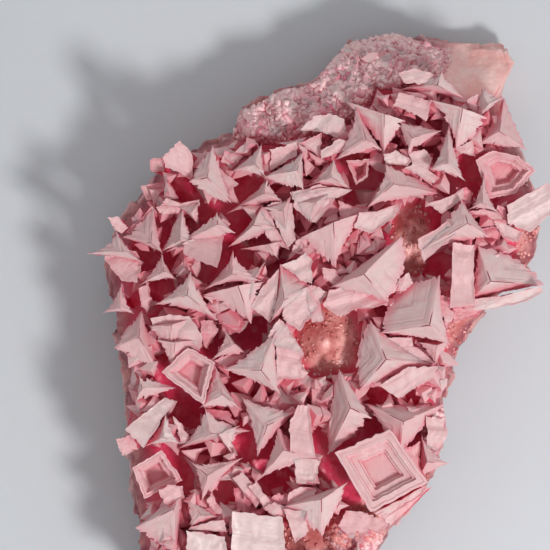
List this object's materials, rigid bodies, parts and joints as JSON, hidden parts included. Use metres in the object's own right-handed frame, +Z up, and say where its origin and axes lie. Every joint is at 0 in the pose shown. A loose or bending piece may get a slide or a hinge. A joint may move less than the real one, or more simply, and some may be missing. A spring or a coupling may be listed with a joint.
{
  "type": "hopper halite specimen",
  "caption": "Pink halite mineral specimen: a sawn slab of massive salt carrying a dense crowd of hollow, three-armed hopper cubes.",
  "frame": {"origin": "on the flat sawn underside, at the middle of the slab's plan", "axes": "+Z up from the underside to the crystals, +Y along the specimen's length towards its narrow sugary end, +X across it towards the salmon coloured massive side"},
  "size_m": [0.1176, 0.1527, 0.0429],
  "materials": {
    "massive_halite": "granular, slightly waxy salmon pink",
    "hopper_halite": "frosted pink faces, deep red in the gaps",
    "frosted_halite": "matt white frost over pink"
  },
  "bodies": {
    "root": {"halite_slab": "massive_halite", "block_n_white": "frosted_halite", "block_s_frosted": "frosted_halite", "block_w_small": "hopper_halite", "column_s": "hopper_halite", "cube_e_white": "frosted_halite", "hopper_c_beak": "hopper_halite", "hopper_c_chief": "hopper_halite", "hopper_c_pillar": "hopper_halite", "hopper_c_ring": "hopper_halite", "hopper_c_shard": "hopper_halite", "hopper_c_spread": "hopper_halite", "hopper_c_stub": "hopper_halite", "hopper_c_terrace": "hopper_halite", "hopper_c_triple": "hopper_halite", "hopper_e_apron": "hopper_halite", "hopper_e_arm": "hopper_halite", "hopper_e_dark": "hopper_halite", "hopper_e_great": "hopper_halite", "hopper_e_hood": "hopper_halite", "hopper_e_pair": "hopper_halite", "hopper_n_crest": "hopper_halite", "hopper_n_reef": "hopper_halite", "hopper_n_ring": "hopper_halite", "hopper_ne_frame": "hopper_halite", "hopper_ne_gable": "hopper_halite", "hopper_ne_soft": "hopper_halite", "hopper_nw_crown": "hopper_halite", "hopper_nw_wedge": "hopper_halite", "hopper_s_great": "hopper_halite", "hopper_s_hook": "hopper_halite", "hopper_s_rim_centre": "hopper_halite", "hopper_s_rim_east": "hopper_halite", "hopper_s_rim_middle": "hopper_halite", "hopper_s_rim_square": "hopper_halite", "hopper_s_rim_west": "hopper_halite", "hopper_se_rim": "hopper_halite", "hopper_se_square": "hopper_halite", "hopper_se_vault": "hopper_halite", "hopper_sw_fork": "hopper_halite", "hopper_sw_rose": "hopper_halite", "hopper_sw_wing": "hopper_halite", "hopper_w_brim": "hopper_halite", "hopper_w_club": "hopper_halite", "hopper_w_crest": "hopper_halite", "hopper_w_fin": "hopper_halite", "hopper_w_finger": "hopper_halite", "hopper_w_kite": "hopper_halite", "hopper_w_point": "hopper_halite", "hopper_w_ragged": "hopper_halite", "hopper_w_shell": "hopper_halite", "hopper_w_sliver": "hopper_halite", "hopper_w_square": "hopper_halite", "hopper_w_trident": "hopper_halite", "slab_s_pale": "frosted_halite", "slab_w_white": "frosted_halite", "slats_sw": "hopper_halite"}
  },
  "joints": []
}
